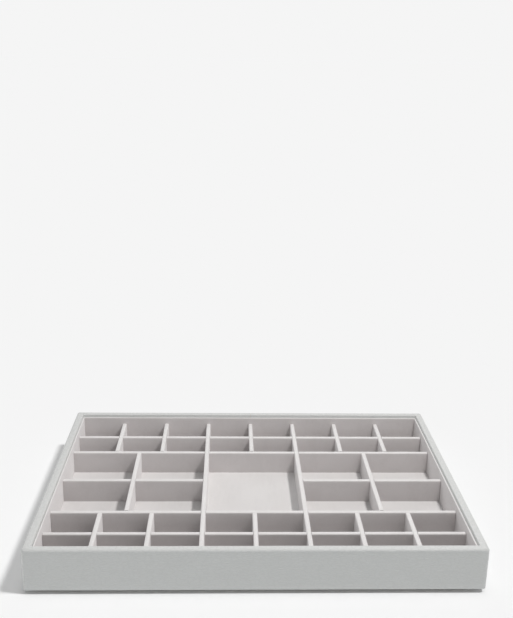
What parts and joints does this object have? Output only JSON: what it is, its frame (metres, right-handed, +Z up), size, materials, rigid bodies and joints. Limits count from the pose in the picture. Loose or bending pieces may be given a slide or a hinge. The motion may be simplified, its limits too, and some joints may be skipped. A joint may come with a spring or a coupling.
{
  "type": "jewelry tray",
  "caption": "Shallow stacking tray wrapped in leatherette, with a velvet liner and a grid of open cells for jewelry.",
  "frame": {"origin": "centre of the tray's footprint, on the surface that it stands on", "axes": "+X along the long side, +Y from front to back, +Z up"},
  "size_m": [0.445, 0.315, 0.048],
  "materials": {
    "leatherette": "fine pebbled, satin",
    "velvet": "short pile velvet",
    "lining": "flat brushed lining",
    "fibreboard": "raw fibreboard",
    "card": "raw grey card"
  },
  "bodies": {
    "root": {"base_board": "fibreboard", "block_cross_left_core": "card", "block_cross_left_sleeve": "velvet", "block_cross_right_core": "card", "block_cross_right_sleeve": "velvet", "block_middle_left_core": "card", "block_middle_left_sleeve": "velvet", "block_middle_right_core": "card", "block_middle_right_sleeve": "velvet", "cross_1_core": "card", "cross_1_sleeve": "velvet", "cross_2_core": "card", "cross_2_sleeve": "velvet", "cross_3_core": "card", "cross_3_sleeve": "velvet", "cross_4_core": "card", "cross_4_sleeve": "velvet", "floor_board": "card", "floor_velvet": "velvet", "leather_wrap": "leatherette", "liner_board_back": "card", "liner_board_front": "card", "liner_board_left": "card", "liner_board_right": "card", "liner_velvet_back": "velvet", "liner_velvet_front": "velvet", "liner_velvet_left": "velvet", "liner_velvet_right": "velvet", "long_left_core": "card", "long_left_sleeve": "velvet", "long_right_core": "card", "long_right_sleeve": "velvet", "plinth_board": "fibreboard", "plinth_lining": "lining", "short_back_1_core": "card", "short_back_1_sleeve": "velvet", "short_back_2_core": "card", "short_back_2_sleeve": "velvet", "short_back_4_core": "card", "short_back_4_sleeve": "velvet", "short_back_6_core": "card", "short_back_6_sleeve": "velvet", "short_back_7_core": "card", "short_back_7_sleeve": "velvet", "short_front_1_core": "card", "short_front_1_sleeve": "velvet", "short_front_2_core": "card", "short_front_2_sleeve": "velvet", "short_front_4_core": "card", "short_front_4_sleeve": "velvet", "short_front_6_core": "card", "short_front_6_sleeve": "velvet", "short_front_7_core": "card", "short_front_7_sleeve": "velvet", "wall_board_back": "fibreboard", "wall_board_front": "fibreboard", "wall_board_left": "fibreboard", "wall_board_right": "fibreboard"}
  },
  "joints": []
}
